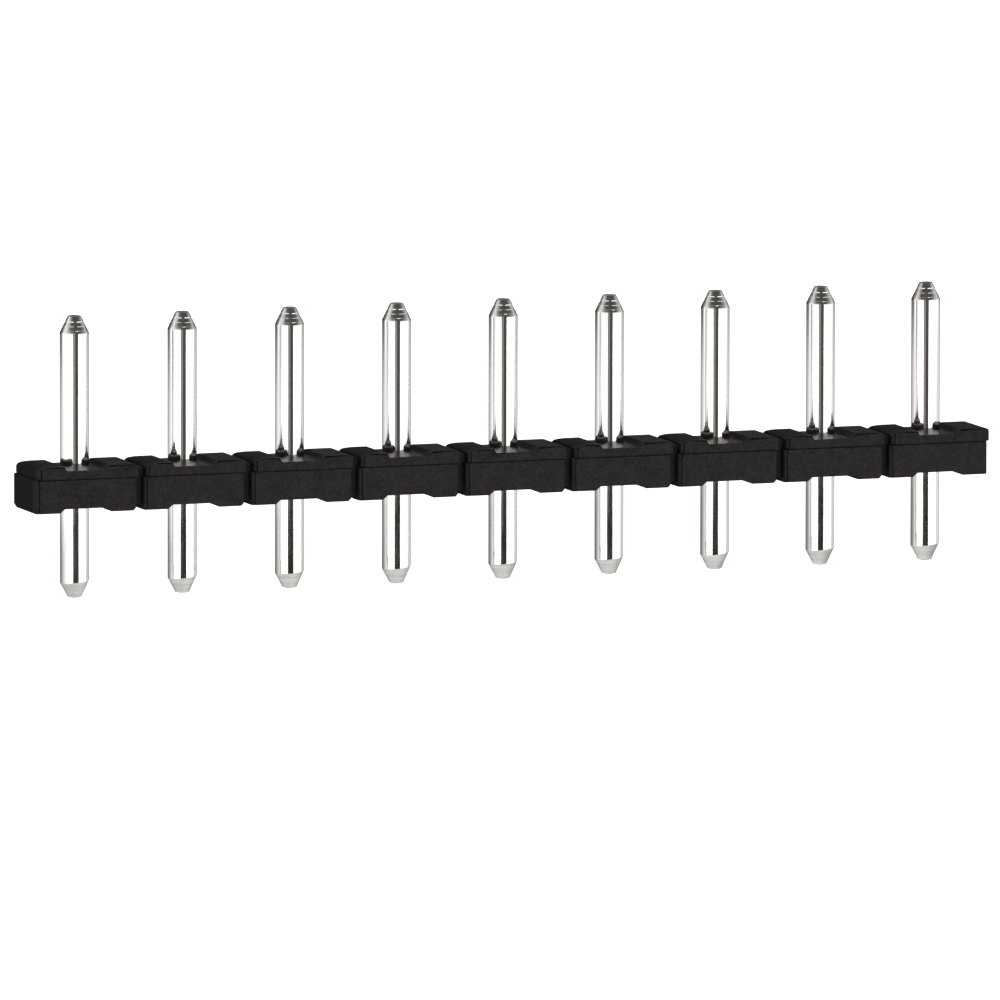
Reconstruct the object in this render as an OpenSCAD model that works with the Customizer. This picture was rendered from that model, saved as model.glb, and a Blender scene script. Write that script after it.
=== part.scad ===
// Pin strip for pluggable terminal blocks: one moulded housing with a row of straight round pins.
// Frame: the origin is on the axis of the middle pin, in the plane where the housing sits on the
// circuit board. +X runs along the row, +Z points to the contact ends, -Y is the front.

/* [Row] */
// Number of pins in the row
poles = 9; // [2:1:24]
// Distance between neighbouring pin axes
pitch = 5; // [4:0.01:10.16]

/* [Pins] */
// Diameter of the round pins
pin_d = 1.3; // [1:0.05:1.5]
// Length of a pin above the board plane, up to the contact tip
contact_len = 8.5; // [6:0.1:14]
// Length of a pin below the board plane, down to the solder tip
solder_len = 4; // [2.4:0.1:6]
// Length of the cone at each end of a pin
cone_len = 0.75; // [0.3:0.05:1.2]
// Diameter of the flat on each tip
tip_d = 0.57; // [0.3:0.01:0.9]
// Depth of the waist by which the moulding grips a pin
waist_depth = 0.2; // [0.16:0.01:0.25]

/* [Housing] */
// Height of the housing
housing_h = 2.05; // [1.9:0.05:4]
// Height of the mould's upper half, above the parting plane
upper_h = 0.57; // [0.4:0.01:1.2]
// Reach of the housing in front of the pin axes
front_reach = 1.8; // [1.3:0.05:4]
// Reach of the housing behind the pin axes
back_reach = 1.45; // [1.3:0.05:4]
// Sideways offset between the mould's two halves
parting_step = 0.09; // [0:0.01:0.2]
// Forward overhang of the upper half
parting_lip = 0.03; // [0:0.01:0.1]
// Bevel on the upright corners at the left and the back of each block
corner_bevel = 0.1; // [0.02:0.01:0.2]
// Bevel on the upright corner at the right of each block's front
front_right_bevel = 0.03; // [0.01:0.01:0.2]
// Radius along the outer top edges of each block
edge_r = 0.12; // [0.04:0.01:0.15]

/* [Notches] */
// Width of the notch between neighbouring blocks
notch_w = 0.38; // [0.2:0.01:0.8]
// Depth of the notch in the front and the back
notch_depth = 0.48; // [0.2:0.01:0.7]
// Bevel where a notch meets the foot on its left
notch_mouth = 0.13; // [0.02:0.01:0.2]

/* [Channels] */
// Depth of the channel across the top of each block
top_channel_depth = 0.18; // [0.1:0.01:0.3]
// Width of the top channel's floor
top_channel_w = 1.9; // [1.6:0.01:2.4]
// Sideways run of the top channel's walls
top_wall_run = 0.12; // [0.02:0.01:0.3]
// Depth of the channel across the foot of each block
foot_channel_depth = 0.18; // [0.1:0.01:0.25]
// Reach of the foot channel's roof to the left of the pin axis
foot_left_reach = 1.04; // [0.8:0.01:1.3]
// Clear strip of the foot channel's roof to the right of the pin
foot_right_clear = 0.05; // [0.02:0.01:0.3]
// Sideways run of the foot channel's left wall
foot_left_run = 0.21; // [0.02:0.01:0.3]
// Sideways run of the foot channel's right wall
foot_right_run = 0.42; // [0.1:0.01:0.5]

/* [Back bevels] */
// Run of the bevel along the top of the back
top_bevel_run = 0.45; // [0.1:0.01:0.6]
// Drop of the bevel along the top of the back
top_bevel_drop = 0.3; // [0.1:0.01:0.38]
// Run of the bevel along the bottom of the back
foot_bevel_run = 0.5; // [0.1:0.01:0.6]
// Rise of the bevel along the bottom of the back
foot_bevel_rise = 0.16; // [0.05:0.01:0.4]

/* [Hidden] */
housing_colour = [0.11, 0.105, 0.11];
pin_colour = [0.86, 0.86, 0.85];
round_fn = 64;
edge_steps = 3;
// How far below the foot channel's roof, just outside the moulding, a pin's waist begins
waist_relief = 0.04;
// How far inside the moulding the waist ends, below the top channel's floor
waist_inset = 0.01;
// How far the web between two blocks runs into each of them
web_root = 0.5;
// Spare length that lets one cutting profile pass clean through another
spare = 1;

pin_r = pin_d / 2;
tip_r = tip_d / 2;
block_w = pitch - notch_w;
half_step = parting_step / 2;
parting_z = housing_h - upper_h;
channel_floor_z = housing_h - top_channel_depth;
// The pin closest to the middle of the row carries the origin
middle_pin = ceil(poles / 2);

function pin_x(number) = (number - middle_pin) * pitch;
function pin_node(number) = str("pin_", number);
// Points of a quarter circle that starts at the given angle and turns anticlockwise
function quarter_round(x, z, start) = [
    for (step = [0 : edge_steps])
        let (angle = start + 90 * step / edge_steps)
            [x + edge_r * cos(angle), z + edge_r * sin(angle)]
];

// Carries a front view, drawn in X and Z, through the depth of the housing
module through_depth() {
    depth = front_reach + back_reach + 2 * spare;
    translate([0, back_reach + spare, 0])
        rotate([90, 0, 0])
            linear_extrude(depth) children();
}

// Carries a side view, drawn in Y and Z, across the width of a block
module across_block() {
    width = block_w + 2 * spare;
    translate([-width / 2, 0, 0])
        rotate([90, 0, 90])
            linear_extrude(width) children();
}

// Plan of one block, whose sides lie at left and right: a rectangle with bevelled corners
module block_plan(left, right) {
    polygon([
        [left + corner_bevel, -front_reach],
        [right - front_right_bevel, -front_reach],
        [right, -front_reach + front_right_bevel],
        [right, back_reach - corner_bevel],
        [right - corner_bevel, back_reach],
        [left + corner_bevel, back_reach],
        [left, back_reach - corner_bevel],
        [left, -front_reach + corner_bevel]
    ]);
}

// Lower half of a block: two feet on the board, with the foot channel between them.
// Its right foot is bevelled where a notch follows.
module lower_half(mouth) {
    left = -block_w / 2 - half_step;
    right = block_w / 2 - half_step;
    roof_right = pin_r + foot_right_clear;
    intersection() {
        through_depth()
            polygon([
                [left, 0],
                [-foot_left_reach - foot_left_run, 0],
                [-foot_left_reach, foot_channel_depth],
                [roof_right, foot_channel_depth],
                [roof_right + foot_right_run, 0],
                [right - mouth, 0],
                [right, mouth],
                [right, parting_z],
                [left, parting_z]
            ]);
        linear_extrude(parting_z) block_plan(left, right);
        across_block()
            polygon([
                [-front_reach, 0],
                [back_reach - foot_bevel_run, 0],
                [back_reach, foot_bevel_rise],
                [back_reach, parting_z],
                [-front_reach, parting_z]
            ]);
    }
}

// Upper half of a block: two lands with rounded outer edges and the top channel between them
module upper_half() {
    left = -block_w / 2 + half_step;
    right = block_w / 2 + half_step;
    floor_side = top_channel_w / 2;
    wall_top = floor_side + top_wall_run;
    round_z = housing_h - edge_r;
    translate([0, -parting_lip, 0])
        intersection() {
            through_depth()
                polygon(concat(
                    [[left, parting_z], [right, parting_z]],
                    quarter_round(right - edge_r, round_z, 0),
                    [[wall_top, housing_h], [floor_side, channel_floor_z]],
                    [[-floor_side, channel_floor_z], [-wall_top, housing_h]],
                    quarter_round(left + edge_r, round_z, 90)
                ));
            linear_extrude(housing_h) block_plan(left, right);
            across_block()
                polygon([
                    [-front_reach, parting_z],
                    [back_reach, parting_z],
                    [back_reach, housing_h - top_bevel_drop],
                    [back_reach - top_bevel_run, housing_h],
                    [-front_reach, housing_h]
                ]);
        }
}

// Web that joins a block to the next one, set back from its faces all round
module web() {
    width = notch_w + 2 * web_root;
    translate([(pitch - width) / 2, notch_depth - front_reach, foot_channel_depth])
        cube([
            width,
            front_reach + back_reach - 2 * notch_depth,
            channel_floor_z - foot_channel_depth
        ]);
}

// One pin, turned about its own axis, with a waist that the moulding fills
module pin_body() {
    waist_low = foot_channel_depth - waist_relief;
    waist_high = channel_floor_z - waist_inset;
    waist_r = pin_r - waist_depth;
    rotate_extrude($fn = round_fn)
        polygon([
            [0, -solder_len],
            [tip_r, -solder_len],
            [pin_r, cone_len - solder_len],
            [pin_r, waist_low],
            [waist_r, waist_low + waist_depth],
            [waist_r, waist_high - waist_depth],
            [pin_r, waist_high],
            [pin_r, contact_len - cone_len],
            [tip_r, contact_len],
            [0, contact_len]
        ]);
}

module place(number) {
    translate([pin_x(number), 0, 0]) children();
}

module pin(number) {
    color(pin_colour) place(number) pin_body();
}

// The whole moulding, closed round every pin
module housing() {
    color(housing_colour)
        difference() {
            union() {
                for (number = [1 : poles]) {
                    place(number) lower_half(number < poles ? notch_mouth : front_right_bevel);
                    place(number) upper_half();
                }
                for (number = [1 : poles - 1])
                    place(number) web();
            }
            for (number = [1 : poles])
                place(number) pin_body();
        }
}

housing();
for (number = [1 : poles])
    pin(number);
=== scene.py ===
import math
from collections import namedtuple

import bmesh
import bpy
from mathutils import Matrix, Vector


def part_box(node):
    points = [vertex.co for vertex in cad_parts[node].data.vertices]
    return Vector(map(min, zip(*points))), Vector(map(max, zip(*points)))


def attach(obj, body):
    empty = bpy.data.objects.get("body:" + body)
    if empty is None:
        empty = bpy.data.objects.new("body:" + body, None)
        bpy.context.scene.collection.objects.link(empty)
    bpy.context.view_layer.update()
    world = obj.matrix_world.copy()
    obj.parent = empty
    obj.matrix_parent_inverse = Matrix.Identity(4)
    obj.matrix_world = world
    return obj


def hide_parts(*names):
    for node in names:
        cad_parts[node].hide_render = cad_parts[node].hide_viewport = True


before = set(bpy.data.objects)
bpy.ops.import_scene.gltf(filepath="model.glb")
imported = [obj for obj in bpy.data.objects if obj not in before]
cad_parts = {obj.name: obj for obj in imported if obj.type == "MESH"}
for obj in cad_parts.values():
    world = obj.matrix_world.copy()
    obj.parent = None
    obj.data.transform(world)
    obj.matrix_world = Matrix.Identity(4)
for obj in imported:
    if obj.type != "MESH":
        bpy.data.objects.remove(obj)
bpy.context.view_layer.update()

MM = 0.001

# ---------------------------------------------------------------------------
# Sizes, in metres, taken from the frame
# ---------------------------------------------------------------------------
housing_low, housing_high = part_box("housing")
pin_low, pin_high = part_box("pin_5")
PIN_NODES = [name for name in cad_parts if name.startswith("pin_")]
PITCH = (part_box("pin_6")[0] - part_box("pin_5")[0]).x
PIN_R = (pin_high.x - pin_low.x) / 2
CONTACT_TOP = pin_high.z
SOLDER_TIP = pin_low.z
HOUSING_TOP = housing_high.z

# The forms of a pin that its box doesn't give, as in the CAD
CONE = 0.75 * MM
TIP_R = 0.285 * MM
WAIST_R = 0.45 * MM
WAIST_LOW = 0.14 * MM
WAIST_HIGH = 1.86 * MM
SOLDER_SHOULDER = SOLDER_TIP + CONE
CONTACT_SHOULDER = CONTACT_TOP - CONE

# The forms of the housing that its box doesn't give, as in the CAD
PARTING_Z = 1.48 * MM
# Where the front faces of a block's two mould halves end at the left, from the pin axis
LOWER_SEAM_X = -2.255 * MM
UPPER_SEAM_X = -2.165 * MM
# Anything in front of this belongs to the blocks' front faces
SEAM_BACK = -1.79 * MM
# Beyond these lie the upright faces and the bevelled corners of the blocks
BLOCK_SIDE = 2.13 * MM
BLOCK_FRONT = -1.65 * MM
BLOCK_BACK = 1.3 * MM
# Edges lower than this aren't at the top of a block
TOP_EDGES = PARTING_Z + 0.2 * MM
# Faces this close round a pin line the bore that the moulding leaves for it
BORE_R = PIN_R + 0.02 * MM

# Fine finish of the housing
EDGE_SOFTNESS = 0.03 * MM
TOP_SOFTNESS = 0.085 * MM
CORNER_SOFTNESS = 0.068 * MM
SOFT_SEGMENTS = 3
GROOVE_HALF = 0.035 * MM
GROOVE_DEPTH = 0.037 * MM
SEAM_DEPTH = 0.075 * MM
CROWN_RUN = 0.48 * MM
CROWN_DROP = 0.10 * MM
CROWN_DEPTH = 0.24 * MM
CROWN_STEPS = 8
# How far out the crown carries on, in runs
CROWN_REACH = 1.5
# How much weaker the crown is at the back than at the front
CROWN_FADE = 0.75

# How close two places have to be to count as one, in a test and when vertices are joined
CLOSE = 0.0001 * MM
WELD = 0.0005 * MM
# Angles between faces: below the first they are one flat face, above the second a chosen edge is
# softened, and above the last two an edge shades sharp, on the housing and on a pin
FLAT_ANGLE = math.radians(1)
SOFTENED_ANGLE = math.radians(35)
HOUSING_CREASE = math.radians(40)
PIN_CREASE = math.radians(18)

# ---------------------------------------------------------------------------
# Camera: a long lens, in front, to the left and a little above
# ---------------------------------------------------------------------------
CAMERA_AZIMUTH = math.radians(-19.68)
CAMERA_ELEVATION = math.radians(7.22)
CAMERA_ROLL = math.radians(-0.11)
CAMERA_DISTANCE = 0.9
CAMERA_LENS = 731.57
CAMERA_NEAR = 0.01
CAMERA_FAR = 50
# Where the camera's axis passes the origin, to the right and up
CAMERA_ASIDE = -0.125 * MM
CAMERA_ABOVE = -0.476 * MM


def make_camera():
    ahead = Vector((
        -math.sin(CAMERA_AZIMUTH) * math.cos(CAMERA_ELEVATION),
        math.cos(CAMERA_AZIMUTH) * math.cos(CAMERA_ELEVATION),
        -math.sin(CAMERA_ELEVATION),
    ))
    level_right = Vector((math.cos(CAMERA_AZIMUTH), math.sin(CAMERA_AZIMUTH), 0))
    level_up = level_right.cross(ahead)
    right = level_right * math.cos(CAMERA_ROLL) - level_up * math.sin(CAMERA_ROLL)
    up = level_right * math.sin(CAMERA_ROLL) + level_up * math.cos(CAMERA_ROLL)
    place = level_right * CAMERA_ASIDE + level_up * CAMERA_ABOVE - ahead * CAMERA_DISTANCE
    turned = Matrix((right, up, -ahead)).transposed().to_4x4()
    camera = bpy.data.objects.new("camera", bpy.data.cameras.new("camera"))
    bpy.context.collection.objects.link(camera)
    camera.data.lens = CAMERA_LENS
    camera.data.clip_start = CAMERA_NEAR
    camera.data.clip_end = CAMERA_FAR
    camera.matrix_world = Matrix.Translation(place) @ turned
    bpy.context.scene.camera = camera


# ---------------------------------------------------------------------------
# Small helpers
# ---------------------------------------------------------------------------
def ease(value, start, end):
    """0 before start and 1 after end, with a smooth rise between them."""
    t = min(max((value - start) / (end - start), 0), 1)
    return t * t * (3 - 2 * t)


def pin_axis(node):
    """The X of a pin's axis."""
    low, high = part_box(node)
    return (low.x + high.x) / 2


def from_axis(x):
    """How far to the right of the closest pin's axis a place lies."""
    return (x + PITCH / 2) % PITCH - PITCH / 2


def add_object(name, mesh):
    """Puts a finished bmesh into the scene as an object."""
    data = bpy.data.meshes.new(name)
    mesh.to_mesh(data)
    mesh.free()
    added = bpy.data.objects.new(name, data)
    bpy.context.collection.objects.link(added)
    return added


class Graph:
    """Empties a node tree, then adds nodes to it and links them by socket name."""

    def __init__(self, tree):
        tree.nodes.clear()
        self.tree = tree

    def fill(self, socket, value):
        """Links a socket to another one, or sets its own value."""
        if isinstance(value, bpy.types.NodeSocket):
            self.tree.links.new(value, socket)
        else:
            socket.default_value = value

    def add(self, kind, inputs=None, **settings):
        node = self.tree.nodes.new(kind)
        for name, value in settings.items():
            setattr(node, name, value)
        for name, value in (inputs or {}).items():
            self.fill(node.inputs[name], value)
        return node

    def math(self, operation, *values):
        return self.add("ShaderNodeMath", dict(enumerate(values)), operation=operation).outputs[0]

    def spread(self, value, from_low, from_high, to_low, to_high):
        """Maps a range of a value on to another, and holds it at its ends."""
        return self.add("ShaderNodeMapRange", {
            "Value": value, "From Min": from_low, "From Max": from_high,
            "To Min": to_low, "To Max": to_high,
        }).outputs[0]

    def rise(self, value, low, high):
        return self.spread(value, low, high, 0.0, 1.0)

    def fall(self, value, low, high):
        return self.spread(value, low, high, 1.0, 0.0)

    def mix(self, factor, first, second):
        """The first colour where factor is 0, and the second one where it is 1."""
        node = self.add("ShaderNodeMix", data_type="RGBA")
        sockets = {socket.identifier: socket for socket in node.inputs}
        self.fill(sockets["Factor_Float"], factor)
        self.fill(sockets["A_Color"], first)
        self.fill(sockets["B_Color"], second)
        return next(socket for socket in node.outputs if socket.identifier == "Result_Color")

    def place(self):
        """The place on the object, in metres."""
        return self.add("ShaderNodeTexCoord").outputs["Object"]

    def axes(self, vector):
        """The X, Y and Z of a vector."""
        return self.add("ShaderNodeSeparateXYZ", {0: vector}).outputs

    def upwardness(self):
        """1 on a face that looks straight up, and 0 on an upright one."""
        return self.axes(self.add("ShaderNodeNewGeometry").outputs["True Normal"])[2]

    def stretch(self, vector, scale):
        return self.add("ShaderNodeVectorMath", {0: vector, 1: scale}, operation="MULTIPLY").outputs[0]

    def noise(self, vector, scale, detail=3.0, roughness=0.5):
        return self.add("ShaderNodeTexNoise", {
            "Vector": vector, "Scale": scale, "Detail": detail, "Roughness": roughness,
        }).outputs["Fac"]

    def bump(self, height, depth, strength):
        return self.add("ShaderNodeBump", {
            "Strength": strength, "Distance": depth, "Height": height,
        }).outputs[0]

    def glow(self, colour, strength):
        return self.add("ShaderNodeEmission", {"Color": colour, "Strength": strength})

    def surface(self, shader):
        self.add("ShaderNodeOutputMaterial", {"Surface": shader.outputs[0]})


def new_material(name):
    """A new material, and the graph of its node tree."""
    material = bpy.data.materials.new(name)
    material.use_nodes = True
    return material, Graph(material.node_tree)


# ---------------------------------------------------------------------------
# Materials: colours are linear, and a noise's scale counts its spots in a metre
# ---------------------------------------------------------------------------
# The stretch of its values that a noise mostly keeps to
NOISE_RANGE = (0.3, 0.7)

# Black moulding
DARK_MOTTLE = (0.0063, 0.0047, 0.0052, 1)
LIGHT_MOTTLE = (0.0228, 0.0186, 0.0198, 1)
MOTTLE_RANGE = (0.38, 0.62)
CLOUD_SCALE = 2000.0
CLOUD_SHARE = 0.4
GRAIN_SCALE = 9000.0
GRAIN_DEPTH = 0.006 * MM
PLASTIC_IOR = 1.24
PLASTIC_GLOSS = 0.5
PLASTIC_ROUGHNESS = (0.40, 0.50)

# Painted shade at each block's left side, on its left land and left end, and in its notch: a flat black
# with little gloss that looks darker there. It has faded out at the end distance given below, to the left
# of the pin axis, and it fades in at the notch and behind the front face
PAINTED_SHADE_BLACK = (0.0168, 0.0140, 0.0156, 1)
PAINTED_SHADE_GLOSS = 0.12
PAINTED_SHADE_ROUGHNESS = 0.2
PAINTED_SHADE_END = 0.6 * MM
PAINTED_SHADE_NOTCH = (BLOCK_SIDE + 0.08 * MM, BLOCK_SIDE + 0.2 * MM)
PAINTED_SHADE_BEHIND = (SEAM_BACK, SEAM_BACK + 0.7 * MM)

# A painted shade line, a near-black with little gloss, along the rounding between each front and its top:
# how far its faces look up, and how far back it goes
EDGE_SHADE_BLACK = (0.0030, 0.0022, 0.0026, 1)
EDGE_SHADE_GLOSS = 0.2
EDGE_FROM_UPRIGHT = (0.15, 0.3)
EDGE_TO_LEVEL = (0.93, 0.99)
EDGE_BACK = (SEAM_BACK, SEAM_BACK + 0.06 * MM)

# The smoother floor of the top channel: how level and how low a face has to be
POLISH_GLOSS = 0.35
POLISH_ROUGHNESS = -0.15
POLISH_LEVEL = (0.97, 0.99)
POLISH_HEIGHT = (HOUSING_TOP - 0.16 * MM, HOUSING_TOP - 0.13 * MM)

# Bright tin: streaks in its colour, and ripples in its surface, both drawn out along the pin
DARK_TIN = (0.90, 0.895, 0.885, 1)
LIGHT_TIN = (0.96, 0.957, 0.95, 1)
TIN_ROUGHNESS = (0.04, 0.10)
STREAK_STRETCH = (1.0, 1.0, 0.12)
STREAK_SCALE = 5000.0
RIPPLE_STRETCH = (1.0, 1.0, 0.35)
RIPPLE_SCALE = 1500.0
FINE_RIPPLE_SCALE = 5500.0
FINE_RIPPLE_SHARE = 0.35
RIPPLE_DEPTH = 0.004 * MM

# Turned metal: rings squeezed out of a noise, and patches
DARK_CONE = (0.82, 0.81, 0.80, 1)
LIGHT_CONE = (0.92, 0.91, 0.90, 1)
DARK_CUT = (0.46, 0.45, 0.435, 1)
LIGHT_CUT = (0.76, 0.745, 0.72, 1)
RING_STRETCH = (0.02, 0.02, 1.0)
RING_RANGE = (0.35, 0.65)
PATCH_SCALE = 4000.0


def left_painted_shade(graph, where):
    """Mask of the painted shade: 1 along the left side of each block and in its notch, and 0 on its front
    and its right.
    """
    x, y, _ = graph.axes(where)
    across = graph.math("WRAP", x, PITCH / 2, -PITCH / 2)
    left = graph.fall(across, -BLOCK_SIDE, -PAINTED_SHADE_END)
    notch = graph.rise(across, *PAINTED_SHADE_NOTCH)
    return graph.math("MULTIPLY", graph.math("MAXIMUM", left, notch), graph.rise(y, *PAINTED_SHADE_BEHIND))


def front_edge_painted_shade(graph, where):
    """Mask of the painted shade line: 1 along the rounding between a block's front and its top, and 0
    elsewhere.
    """
    upward = graph.upwardness()
    rounding = graph.math("MULTIPLY", graph.rise(upward, *EDGE_FROM_UPRIGHT),
                          graph.fall(upward, *EDGE_TO_LEVEL))
    return graph.math("MULTIPLY", rounding, graph.fall(graph.axes(where)[1], *EDGE_BACK))


def channel_polish(graph, where):
    """1 on the floor of the top channel, which mirrors its pin, and 0 elsewhere."""
    return graph.math("MULTIPLY", graph.rise(graph.upwardness(), *POLISH_LEVEL),
                      graph.fall(graph.axes(where)[2], *POLISH_HEIGHT))


def moulded_plastic():
    """Black moulding: a cloudy mottle under a fine grain, with painted shade, a flat black with less
    gloss, at each block's left side and in its notch, and a painted shade line along each front's top
    edge.
    """
    material, graph = new_material("black_moulding")
    where = graph.place()
    clouds = graph.noise(where, CLOUD_SCALE, detail=6.0, roughness=0.7)
    grain = graph.noise(where, GRAIN_SCALE, detail=4.0, roughness=0.7)
    tone = graph.math("MULTIPLY_ADD", clouds, CLOUD_SHARE, graph.math("MULTIPLY", grain, 1 - CLOUD_SHARE))
    # Painted shade at each block's left side and in its notch
    painted_shade = left_painted_shade(graph, where)
    # Painted shade line along the rounding of each front's top edge
    edge_painted_shade = front_edge_painted_shade(graph, where)
    polish = channel_polish(graph, where)
    colour = graph.mix(graph.rise(tone, *MOTTLE_RANGE), DARK_MOTTLE, LIGHT_MOTTLE)
    # Mixes in the painted shade and the painted shade line
    colour = graph.mix(painted_shade, colour, PAINTED_SHADE_BLACK)
    colour = graph.mix(edge_painted_shade, colour, EDGE_SHADE_BLACK)
    # Less gloss and more roughness where the shade is painted
    gloss = graph.math("MULTIPLY", graph.spread(painted_shade, 0.0, 1.0, PLASTIC_GLOSS, PAINTED_SHADE_GLOSS),
                       graph.spread(edge_painted_shade, 0.0, 1.0, 1.0, EDGE_SHADE_GLOSS))
    gloss = graph.math("MULTIPLY_ADD", polish, POLISH_GLOSS, gloss)
    roughness = graph.spread(clouds, *NOISE_RANGE, *PLASTIC_ROUGHNESS)
    roughness = graph.math("MULTIPLY_ADD", painted_shade, PAINTED_SHADE_ROUGHNESS, roughness)
    roughness = graph.math("MULTIPLY_ADD", polish, POLISH_ROUGHNESS, roughness)
    graph.surface(graph.add("ShaderNodeBsdfPrincipled", {
        "Base Color": colour, "Roughness": roughness, "Normal": graph.bump(tone, GRAIN_DEPTH, 0.5),
        "IOR": PLASTIC_IOR, "Specular IOR Level": gloss,
    }))
    return material


def metal_surface(graph, colour, roughness, bump):
    graph.surface(graph.add("ShaderNodeBsdfPrincipled", {
        "Base Color": colour, "Metallic": 1.0, "Roughness": roughness, "Normal": bump,
    }))


def bright_tin():
    """Bright tin plating on the straight part of a pin, drawn lengthways."""
    material, graph = new_material("bright_tin")
    where = graph.place()
    streaks = graph.noise(graph.stretch(where, STREAK_STRETCH), STREAK_SCALE)
    drawn = graph.stretch(where, RIPPLE_STRETCH)
    fine_ripples = graph.noise(drawn, FINE_RIPPLE_SCALE, detail=1.0)
    ripples = graph.math("MULTIPLY_ADD", fine_ripples, FINE_RIPPLE_SHARE,
                         graph.noise(drawn, RIPPLE_SCALE, detail=1.0))
    metal_surface(graph, graph.mix(streaks, DARK_TIN, LIGHT_TIN),
                  graph.spread(streaks, *NOISE_RANGE, *TIN_ROUGHNESS),
                  graph.bump(ripples, RIPPLE_DEPTH, 0.25))
    return material


def turned_metal(name, dark, light, roughness, ring_scale, ring_depth, ring_tone):
    """Metal with fine rings from the lathe round the pin's axis.

    ring_tone is how much of the colour's change comes from the rings; the rest comes in patches."""
    material, graph = new_material(name)
    where = graph.place()
    rings = graph.noise(graph.stretch(where, RING_STRETCH), ring_scale)
    patches = graph.noise(where, PATCH_SCALE)
    tone = graph.math("MULTIPLY_ADD", graph.rise(rings, *RING_RANGE), ring_tone,
                      graph.math("MULTIPLY", patches, 1.0 - ring_tone))
    metal_surface(graph, graph.mix(tone, dark, light), graph.spread(patches, *NOISE_RANGE, *roughness),
                  graph.bump(rings, ring_depth, 0.5))
    return material


# ---------------------------------------------------------------------------
# Pins: turned in code, in place of the plain rods
# ---------------------------------------------------------------------------
SEGMENTS = 96
SHAFT, CONTACT_CONE, CUT_METAL = range(3)
SHOULDER_R = 0.02 * MM
TIP_EDGE_R = 0.03 * MM
# Height of the low dome on the solder tip
DOME = 0.07 * MM
DOME_STEPS = 5
# How far the solder cone's shoulder rises from left to right, because the pin was cut a little askew
SHOULDER_TILT = 0.10

# Narrow upright ledges that the lathe left on the contact cone: how high up, how tall and how far
# undercut each one is, how many pieces of it show round the cone, and their share of the way round.
# The rest of a ledge is lifted out of sight, past a short fade.
Ledge = namedtuple("Ledge", "height tallness undercut pieces share")
LEDGES = (
    Ledge(7.868 * MM, 0.032 * MM, 0.012 * MM, 3, 0.08),
    Ledge(8.056 * MM, 0.016 * MM, 0.0, 4, 0.80),
    Ledge(8.253 * MM, 0.034 * MM, 0.0, 3, 0.86),
)
LEDGE_FADE = 0.08
LEDGE_LIFT = 0.9
# The angle at which the ledges of a pin start, and how it wanders, so that no two pins match
FIRST_TURN = math.radians(97)
TURN_SPREAD = 0.11
TURN_STEP = 2.3


def rounded(before, corner, after, radius, steps):
    """Points that round a corner of a profile."""
    corner = Vector(corner)
    start = corner + (Vector(before) - corner).normalized() * radius
    end = corner + (Vector(after) - corner).normalized() * radius
    points = []
    for step in range(steps + 1):
        t = step / steps
        points.append((1 - t) ** 2 * start + 2 * t * (1 - t) * corner + t * t * end)
    return [tuple(point) for point in points]


def domed_tip(tip, shoulder):
    """Points out from the axis over the solder tip's low dome, which ends on the cone."""
    edge_r = tip[0] + (shoulder[0] - tip[0]) * DOME / (shoulder[1] - tip[1])
    shares = [step / DOME_STEPS for step in range(1, DOME_STEPS + 1)]
    return [(edge_r * share, tip[1] + DOME * share ** 2) for share in shares]


def cone_with_ledges(shoulder, tip):
    """The contact cone's profile, stepped at each ledge. The ledge's lower corner also holds the ledge."""
    slope = (tip[0] - shoulder[0]) / (tip[1] - shoulder[1])
    points = []
    for ledge in LEDGES:
        radius = shoulder[0] + slope * (ledge.height - shoulder[1])
        points.append((radius - ledge.undercut, ledge.height - ledge.tallness / 2, ledge))
        points.append((radius, ledge.height + ledge.tallness / 2))
    return points


def ledge_lift(ledge, angle, turn):
    """How far a ledge's lower corner is raised out of sight, at an angle where the ledge fades."""
    away = abs(math.remainder(ledge.pieces * (angle + turn), 2 * math.pi)) / math.pi
    return LEDGE_LIFT * ledge.tallness * ease(away, ledge.share, ledge.share + LEDGE_FADE)


def pin_profile():
    """Points from the solder tip up to the contact tip: the material below each, its radius and height."""
    solder_tip = (TIP_R, SOLDER_TIP)
    solder_shoulder = (PIN_R, SOLDER_SHOULDER)
    contact_shoulder = (PIN_R, CONTACT_SHOULDER)
    contact_tip = (TIP_R, CONTACT_TOP)
    tip_edge = rounded(contact_shoulder, contact_tip, (0, CONTACT_TOP), TIP_EDGE_R, 4)
    stretches = [
        (CUT_METAL, [(0, SOLDER_TIP)]),
        (CUT_METAL, domed_tip(solder_tip, solder_shoulder)),
        (CUT_METAL, [solder_shoulder]),
        (SHAFT, [(PIN_R, WAIST_LOW)]),
        (SHAFT, [(WAIST_R, WAIST_LOW + PIN_R - WAIST_R), (WAIST_R, WAIST_HIGH - PIN_R + WAIST_R)]),
        (SHAFT, [(PIN_R, WAIST_HIGH)]),
        (SHAFT, rounded((PIN_R, 0), contact_shoulder, contact_tip, SHOULDER_R, 3)),
        (CONTACT_CONE, cone_with_ledges(contact_shoulder, contact_tip)),
        (CONTACT_CONE, tip_edge[:1]),
        (CUT_METAL, tip_edge[1:]),
        (SHAFT, [(0, CONTACT_TOP)]),
    ]
    return [(material, *point) for material, points in stretches for point in points]


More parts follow.
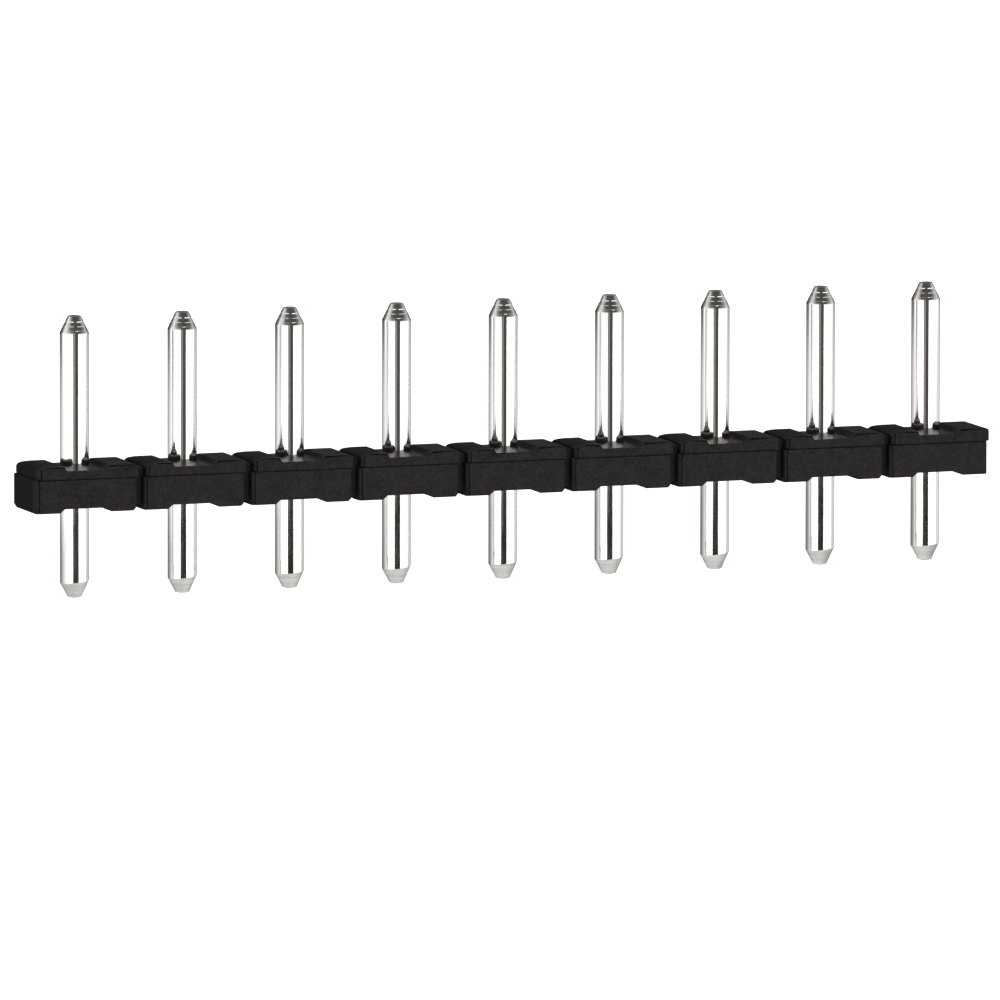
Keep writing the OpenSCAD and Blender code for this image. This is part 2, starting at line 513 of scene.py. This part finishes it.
def turned_pin(name, axis_x, turn):
    """Turns the profile about a pin's axis, with its ledges starting at the angle turn."""
    mesh = bmesh.new()
    rings = []
    profile = pin_profile()
    for _, radius, z, *ledge in profile:
        if radius == 0:
            rings.append([mesh.verts.new((axis_x, 0, z))])
            continue
        ring = []
        for segment in range(SEGMENTS):
            angle = 2 * math.pi * segment / SEGMENTS
            x = radius * math.cos(angle)
            lift = SHOULDER_TILT * x if z == SOLDER_SHOULDER else 0
            if ledge:
                lift = ledge_lift(*ledge, angle, turn)
            ring.append(mesh.verts.new((axis_x + x, radius * math.sin(angle), z + lift)))
        rings.append(ring)
    for low, high, (material, *_) in zip(rings, rings[1:], profile[1:]):
        for segment in range(SEGMENTS):
            after = (segment + 1) % SEGMENTS
            if len(low) == 1:
                corners = (low[0], high[after], high[segment])
            elif len(high) == 1:
                corners = (low[segment], low[after], high[0])
            else:
                corners = (low[segment], low[after], high[after], high[segment])
            face = mesh.faces.new(corners)
            face.material_index = material
            face.smooth = True
    mesh.normal_update()
    return add_object(name, mesh)


def dress_pins(materials):
    """Replaces each pin. The materials come in the order of SHAFT, CONTACT_CONE and CUT_METAL."""
    for order, node in enumerate(PIN_NODES):
        turn = FIRST_TURN + TURN_SPREAD * math.sin(TURN_STEP * order)
        piece = turned_pin("turned_" + node, pin_axis(node), turn)
        for material in materials:
            piece.data.materials.append(material)
        sharpen = piece.modifiers.new("edges", "EDGE_SPLIT")
        sharpen.split_angle = PIN_CREASE
        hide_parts(node)
        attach(piece, "root")


# ---------------------------------------------------------------------------
# Housing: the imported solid, with its finish worked into the mesh
# ---------------------------------------------------------------------------
def cut(mesh, place, normal):
    """Cuts every face of the mesh along a plane."""
    bmesh.ops.bisect_plane(mesh, geom=mesh.verts[:] + mesh.edges[:] + mesh.faces[:],
                           plane_co=place, plane_no=normal, dist=CLOSE)


def on_front_left_corner(edge):
    """Whether an edge stands upright beside the left end of a block's front."""
    ends = [vert.co for vert in edge.verts]
    upright = abs(ends[0].x - ends[1].x) < CLOSE and abs(ends[0].y - ends[1].y) < CLOSE
    return upright and ends[0].y < BLOCK_FRONT and from_axis(ends[0].x) < -BLOCK_SIDE


def on_top_front(edge):
    """Whether an edge runs along the top of a block's front."""
    ends = [vert.co for vert in edge.verts]
    along = abs(ends[0].y - ends[1].y) < CLOSE and abs(ends[0].x - ends[1].x) > 2 * TOP_SOFTNESS
    return along and ends[0].y < BLOCK_FRONT and min(ends[0].z, ends[1].z) > TOP_EDGES


def on_other_edge(edge):
    return not on_front_left_corner(edge) and not on_top_front(edge)


def in_bore(place):
    return math.hypot(from_axis(place.x), place.y) < BORE_R


def soften_edges(mesh, radius, chosen, clamp=True):
    """Rounds the chosen sharp outward edges, and leaves the parting and the bores alone.

    With clamp set, all roundings shrink together until none of them overlaps another."""
    edges = []
    for edge in mesh.edges:
        if len(edge.link_faces) != 2 or not edge.is_convex:
            continue
        at_parting = all(abs(vert.co.z - PARTING_Z) < CLOSE for vert in edge.verts)
        sharp = edge.calc_face_angle() > SOFTENED_ANGLE
        if sharp and not at_parting and not in_bore(edge.verts[0].co) and chosen(edge):
            edges.append(edge)
    bmesh.ops.bevel(mesh, geom=edges, offset=radius, segments=SOFT_SEGMENTS, profile=0.5,
                    affect="EDGES", clamp_overlap=clamp, miter_outer="ARC")


def groove_parting(mesh):
    """Cuts the fine dark groove that runs round every block where the two halves of the mould meet."""
    for z in (PARTING_Z - GROOVE_HALF, PARTING_Z, PARTING_Z + GROOVE_HALF):
        cut(mesh, (0, 0, z), (0, 0, 1))
    for vert in mesh.verts:
        if abs(vert.co.z - PARTING_Z) > CLOSE:
            continue
        aside = from_axis(vert.co.x)
        if abs(aside) > BLOCK_SIDE:
            vert.co.x -= math.copysign(GROOVE_DEPTH, aside)
        if not BLOCK_FRONT < vert.co.y < BLOCK_BACK:
            vert.co.y -= math.copysign(GROOVE_DEPTH, vert.co.y)


def groove_seams(mesh):
    """Cuts the upright groove beside the rounded left corner of each block's front."""
    halves = ((LOWER_SEAM_X, -math.inf, PARTING_Z), (UPPER_SEAM_X, PARTING_Z, math.inf))
    for node in PIN_NODES:
        for seam_x, low, high in halves:
            middle = pin_axis(node) + seam_x + GROOVE_HALF
            for x in (middle - GROOVE_HALF, middle, middle + GROOVE_HALF):
                cut(mesh, (x, 0, 0), (1, 0, 0))
            for vert in mesh.verts:
                if abs(vert.co.x - middle) < CLOSE and vert.co.y < SEAM_BACK and low < vert.co.z < high:
                    vert.co.y += SEAM_DEPTH


def crown_left_lands(mesh):
    """Lets each block's left land fall away gently towards its outer side."""
    for node in PIN_NODES:
        start = pin_axis(node) + UPPER_SEAM_X + CROWN_RUN
        for step in range(CROWN_STEPS):
            cut(mesh, (start - CROWN_RUN * step / CROWN_STEPS, 0, 0), (1, 0, 0))
        for vert in mesh.verts:
            t = (start - vert.co.x) / CROWN_RUN
            share = ease(vert.co.z, HOUSING_TOP - CROWN_DEPTH, HOUSING_TOP)
            share *= 1 - CROWN_FADE * (vert.co.y - housing_low.y) / (housing_high.y - housing_low.y)
            if 0 < t < CROWN_REACH:
                vert.co.z -= CROWN_DROP * share * min(t, 1) ** 2


def dress_housing(material):
    """A copy of the housing's mesh, with rounded front edges and the mould's fine grooves."""
    mesh = bmesh.new()
    mesh.from_mesh(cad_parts["housing"].data)
    bmesh.ops.remove_doubles(mesh, verts=mesh.verts, dist=WELD)
    bmesh.ops.dissolve_limit(mesh, angle_limit=FLAT_ANGLE, verts=mesh.verts, edges=mesh.edges)
    soften_edges(mesh, CORNER_SOFTNESS, on_front_left_corner)
    soften_edges(mesh, TOP_SOFTNESS, on_top_front, clamp=False)
    # The clamp leaves this pass no width, so it moves nothing and only parts the shading at those edges
    soften_edges(mesh, EDGE_SOFTNESS, on_other_edge)
    groove_parting(mesh)
    groove_seams(mesh)
    crown_left_lands(mesh)
    mesh.normal_update()
    for face in mesh.faces:
        face.smooth = True
    for edge in mesh.edges:
        edge.smooth = len(edge.link_faces) == 2 and edge.calc_face_angle() < HOUSING_CREASE
    piece = add_object("moulded_housing", mesh)
    piece.data.materials.append(material)
    flatten = piece.modifiers.new("flat_faces", "WEIGHTED_NORMAL")
    flatten.mode = "FACE_AREA"
    flatten.weight = 100
    flatten.keep_sharp = True
    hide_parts("housing")
    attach(piece, "root")


# ---------------------------------------------------------------------------
# Studio: a white room, two soft lamps, and a tent and cards that only reflections show.
# Angles are in degrees. A card's azimuth is 0 on the camera's side, and below 0 on its left.
# ---------------------------------------------------------------------------
WHITE = (1, 1, 1, 1)
FLOOR_Z = SOLDER_TIP - 46 * MM
FLOOR_SIZE = 8.0
FLOOR_COLOUR = (0.88, 0.88, 0.88, 1)
# How bright the floor glows where it is seen, and how much light the room gives
FLOOR_GLOW = 0.62
ROOM_LIGHT = 0.42

CARD_DISTANCE = 0.3
INNER_DISTANCE = CARD_DISTANCE - 8 * MM
# How far above the floor the cards end
CARD_CLEARANCE = 2 * MM
# A card is left open where all of it is lighter than this
OPEN_TONE = 0.98
# Powers of a grey tone in its red, green and blue, which give it the faint warmth of the room
WARMTH = (1.0, 1.02, 1.06)

# Tones of the tent behind the object on either side, and overhead
LEFT_TONE = 0.03
RIGHT_TONE = 0.08
CEILING_TONE = 0.075
# How dark the left side is above and below its darkest band, and how much lighter the band's top is
LEFT_DARKNESS = 0.60
LEFT_GLOW = 0.12
# How much the lit strip darkens towards the back on the left, and in two steps on the right
LEFT_STRIP_DROP = 0.60
RIGHT_STRIP_DROPS = (0.25, 0.40)
# How much of the ceiling is missing on the left
CEILING_GAP = 0.33
# How much the card low on the left darkens, and the tone of the small light behind
LOW_LEFT_DROP = 0.8
TIP_LIGHT_TONE = 0.8
# The panels below: the tone between them, waves in half a turn, and the azimuth in the middle of one
PANEL_TONE = 0.45
PANEL_WAVE = 1.5
PANEL_MIDDLE = 35

# Elevations at which a change of tone starts and is complete
STRIP_FOOT = (-9.4, -8.5)
STRIP_TOP = (-4.6, -3.4)
LEFT_BAND_FOOT = (-30, -16)
LEFT_BAND_TOP = (20, 36)
LEFT_GLOW_START = (12, 16)
LEFT_CEILING = (26, 50)
RIGHT_CEILING = (10, 46)
PANELS_TOP = (-14, -10.5)
TENT_FOOT = (-48, -38)
# Azimuths, to either side, at which a change of tone starts and is complete
LEFT_DARKENS = (96, 120)
LEFT_STRIP_DARKENS = (84, 145)
LOW_LEFT_DARKENS = (58, 134)
CEILING_GAP_OPENS = (45, 85)
RIGHT_DARKENS = (106, 156)
RIGHT_STRIP_DARKENS = ((94, 106), (126, 164))

# The dark gap in the tent that the camera looks through, in strips side by side, with a lighter flap
# on its upper left. Each strip has its azimuths, elevations, steps and colour.
GAP_SPLIT = -7.05
GAP_TOP = 40
GAP_STRIPS = {
    "gap_low": ((-14, 31), (-12, GAP_SPLIT), (8, 1), (0.022, 0.020, 0.018)),
    "gap_edge": ((-11.5, -7), (GAP_SPLIT, GAP_TOP), (2, 8), (0.10, 0.09, 0.08)),
    "gap_left": ((-7, 4), (GAP_SPLIT, GAP_TOP), (4, 8), (0.30, 0.275, 0.25)),
    "gap_right": ((4, 28), (GAP_SPLIT, GAP_TOP), (6, 8), (0.075, 0.068, 0.062)),
}


def seen_directly(graph):
    """1 for what the camera, a mirror or glass sees, and 0 for what lights the object."""
    path = graph.add("ShaderNodeLightPath")
    seen = graph.math("MAXIMUM", path.outputs["Is Camera Ray"], path.outputs["Is Glossy Ray"])
    return graph.math("MAXIMUM", seen, path.outputs["Is Transmission Ray"])


def make_floor():
    bpy.ops.mesh.primitive_plane_add(size=FLOOR_SIZE, location=(0, 0, FLOOR_Z))
    floor = bpy.context.object
    floor.name = "floor"
    material, graph = new_material("floor_white")
    matt = graph.add("ShaderNodeBsdfDiffuse", {"Color": FLOOR_COLOUR})
    glow = graph.glow(WHITE, graph.math("MULTIPLY", seen_directly(graph), FLOOR_GLOW))
    graph.surface(graph.add("ShaderNodeAddShader", {0: matt.outputs[0], 1: glow.outputs[0]}))
    floor.data.materials.append(material)


def make_world():
    world = bpy.data.worlds.new("studio")
    bpy.context.scene.world = world
    world.use_nodes = True
    graph = Graph(world.node_tree)
    soft = graph.add("ShaderNodeBackground", {"Color": WHITE, "Strength": ROOM_LIGHT})
    white = graph.add("ShaderNodeBackground", {"Color": WHITE, "Strength": 1.0})
    mixed = graph.add("ShaderNodeMixShader", {
        0: seen_directly(graph), 1: soft.outputs[0], 2: white.outputs[0],
    })
    graph.add("ShaderNodeOutputWorld", {"Surface": mixed.outputs[0]})


def toward(azimuth, elevation):
    """The direction from the object at an azimuth, 0 along -Y and 90 along +X, and an elevation."""
    a, e = math.radians(azimuth), math.radians(elevation)
    return Vector((math.sin(a) * math.cos(e), -math.cos(a) * math.cos(e), math.sin(e)))


def soft_lamp(name, azimuth, elevation, distance, size, power):
    """A square soft lamp that faces the object and shows in no reflection. Its azimuth is 0 along -Y."""
    place = toward(azimuth, elevation) * distance
    lamp = bpy.data.objects.new(name, bpy.data.lights.new(name, "AREA"))
    bpy.context.collection.objects.link(lamp)
    lamp.data.size = size
    lamp.data.energy = power
    lamp.location = place
    lamp.rotation_euler = (-place).to_track_quat("-Z", "Y").to_euler()
    lamp.visible_glossy = False


def left_tent(away, elevation):
    """Tones of the tent's left side and of its lit strip, and the ceiling's share, this far round."""
    band = ease(elevation, *LEFT_BAND_FOOT) * (1 - ease(elevation, *LEFT_BAND_TOP))
    darkness = LEFT_DARKNESS + (1 - LEFT_DARKNESS) * band
    side = 1 - (1 - LEFT_TONE) * ease(away, *LEFT_DARKENS) * darkness
    side = min(1.0, side + LEFT_GLOW * ease(elevation, *LEFT_GLOW_START) * band)
    strip = 1 - LEFT_STRIP_DROP * ease(away, *LEFT_STRIP_DARKENS)
    ceiling = ease(elevation, *LEFT_CEILING) * (1 - CEILING_GAP * ease(away, *CEILING_GAP_OPENS))
    return side, strip, ceiling


def right_tent(away, elevation):
    """The same for the tent's right side."""
    side = 1 - (1 - RIGHT_TONE) * ease(away, *RIGHT_DARKENS)
    strip = 1
    for drop, azimuths in zip(RIGHT_STRIP_DROPS, RIGHT_STRIP_DARKENS):
        strip -= drop * ease(away, *azimuths)
    return side, strip, ease(elevation, *RIGHT_CEILING)


def tent_tone(azimuth, elevation):
    """How bright the tent is at a place.

    It is white at the sides, dark behind and overhead, with a lit strip just below the horizon that
    the upright walls of the pins show. Further down it is panelled, for views from higher up."""
    half = left_tent if azimuth < 0 else right_tent
    side, strip, ceiling = half(abs(azimuth), elevation)
    wave = abs(math.cos(math.radians(PANEL_WAVE * (azimuth - PANEL_MIDDLE)))) ** 4
    panels = PANEL_TONE + (1 - PANEL_TONE) * wave
    side *= 1 + (panels - 1) * (1 - ease(elevation, *PANELS_TOP))
    side += (1 - side) * (1 - ease(elevation, *TENT_FOOT))
    side += (strip - side) * ease(elevation, *STRIP_FOOT) * (1 - ease(elevation, *STRIP_TOP))
    return side + (CEILING_TONE - side) * ceiling


def warm(tone):
    """A grey with the faint warmth of the room."""
    return tuple(tone ** power for power in WARMTH)


def studio_card(name, radius, azimuths, elevations, steps, colour):
    """A curved card round the object that only reflections show, with a colour at each place on it.

    Where it is white the card is left open, to the white room behind it."""
    front = math.degrees(CAMERA_AZIMUTH)
    mesh = bmesh.new()
    layer = mesh.verts.layers.float_color.new("tone")
    rows = []
    for row in range(steps[1] + 1):
        elevation = elevations[0] + (elevations[1] - elevations[0]) * row / steps[1]
        line = []
        for column in range(steps[0] + 1):
            azimuth = azimuths[0] + (azimuths[1] - azimuths[0]) * column / steps[0]
            out = toward(front + azimuth, elevation)
            reach = min(radius, (FLOOR_Z + CARD_CLEARANCE) / out.z) if out.z < 0 else radius
            vert = mesh.verts.new(out * reach)
            vert[layer] = (*colour(azimuth, elevation), 1)
            line.append(vert)
        rows.append(line)
    for low, high in zip(rows, rows[1:]):
        for column in range(steps[0]):
            corners = (low[column], low[column + 1], high[column + 1], high[column])
            if min(corner[layer][0] for corner in corners) < OPEN_TONE:
                mesh.faces.new(corners)
    card = add_object(name, mesh)
    material, graph = new_material(name)
    shade = graph.add("ShaderNodeAttribute", attribute_name="tone").outputs["Color"]
    graph.surface(graph.glow(shade, 1.0))
    card.data.materials.append(material)
    card.visible_camera = False
    card.visible_diffuse = False
    card.visible_transmission = False
    card.visible_volume_scatter = False
    card.visible_shadow = False


def make_studio():
    make_floor()
    make_world()
    soft_lamp("key_lamp", azimuth=4, elevation=28, distance=1.1, size=0.8, power=7.3)
    soft_lamp("back_lamp", azimuth=125, elevation=32, distance=0.7, size=0.5, power=2.4)
    studio_card("tent", CARD_DISTANCE, (-180, 180), (-80, 89.9), (120, 170),
                lambda azimuth, elevation: warm(tent_tone(azimuth, elevation)))
    # A card low on the left that darkens towards the back
    studio_card("low_left", INNER_DISTANCE, (-150, -58), (-9.0, GAP_SPLIT), (14, 1),
                lambda azimuth, _: warm(1 - LOW_LEFT_DROP * ease(-azimuth, *LOW_LEFT_DARKENS)))
    # A small light behind, low enough for the flat tips of the pins alone to show it
    studio_card("tip_light", INNER_DISTANCE, (175, 185), (8.2, 9.8), (2, 1),
                lambda *_: warm(TIP_LIGHT_TONE))
    for name, (azimuths, elevations, steps, colour) in GAP_STRIPS.items():
        studio_card(name, INNER_DISTANCE, azimuths, elevations, steps, lambda *_: colour)


# ---------------------------------------------------------------------------
# The scene
# ---------------------------------------------------------------------------
bpy.context.scene.view_settings.view_transform = "Standard"
make_camera()
dress_housing(moulded_plastic())
dress_pins([
    bright_tin(),
    turned_metal("turned_cone", DARK_CONE, LIGHT_CONE, roughness=(0.10, 0.20),
                 ring_scale=30000.0, ring_depth=0.003 * MM, ring_tone=0.0),
    turned_metal("cut_cone", DARK_CUT, LIGHT_CUT, roughness=(0.55, 0.70),
                 ring_scale=11000.0, ring_depth=0.010 * MM, ring_tone=0.5),
])
make_studio()
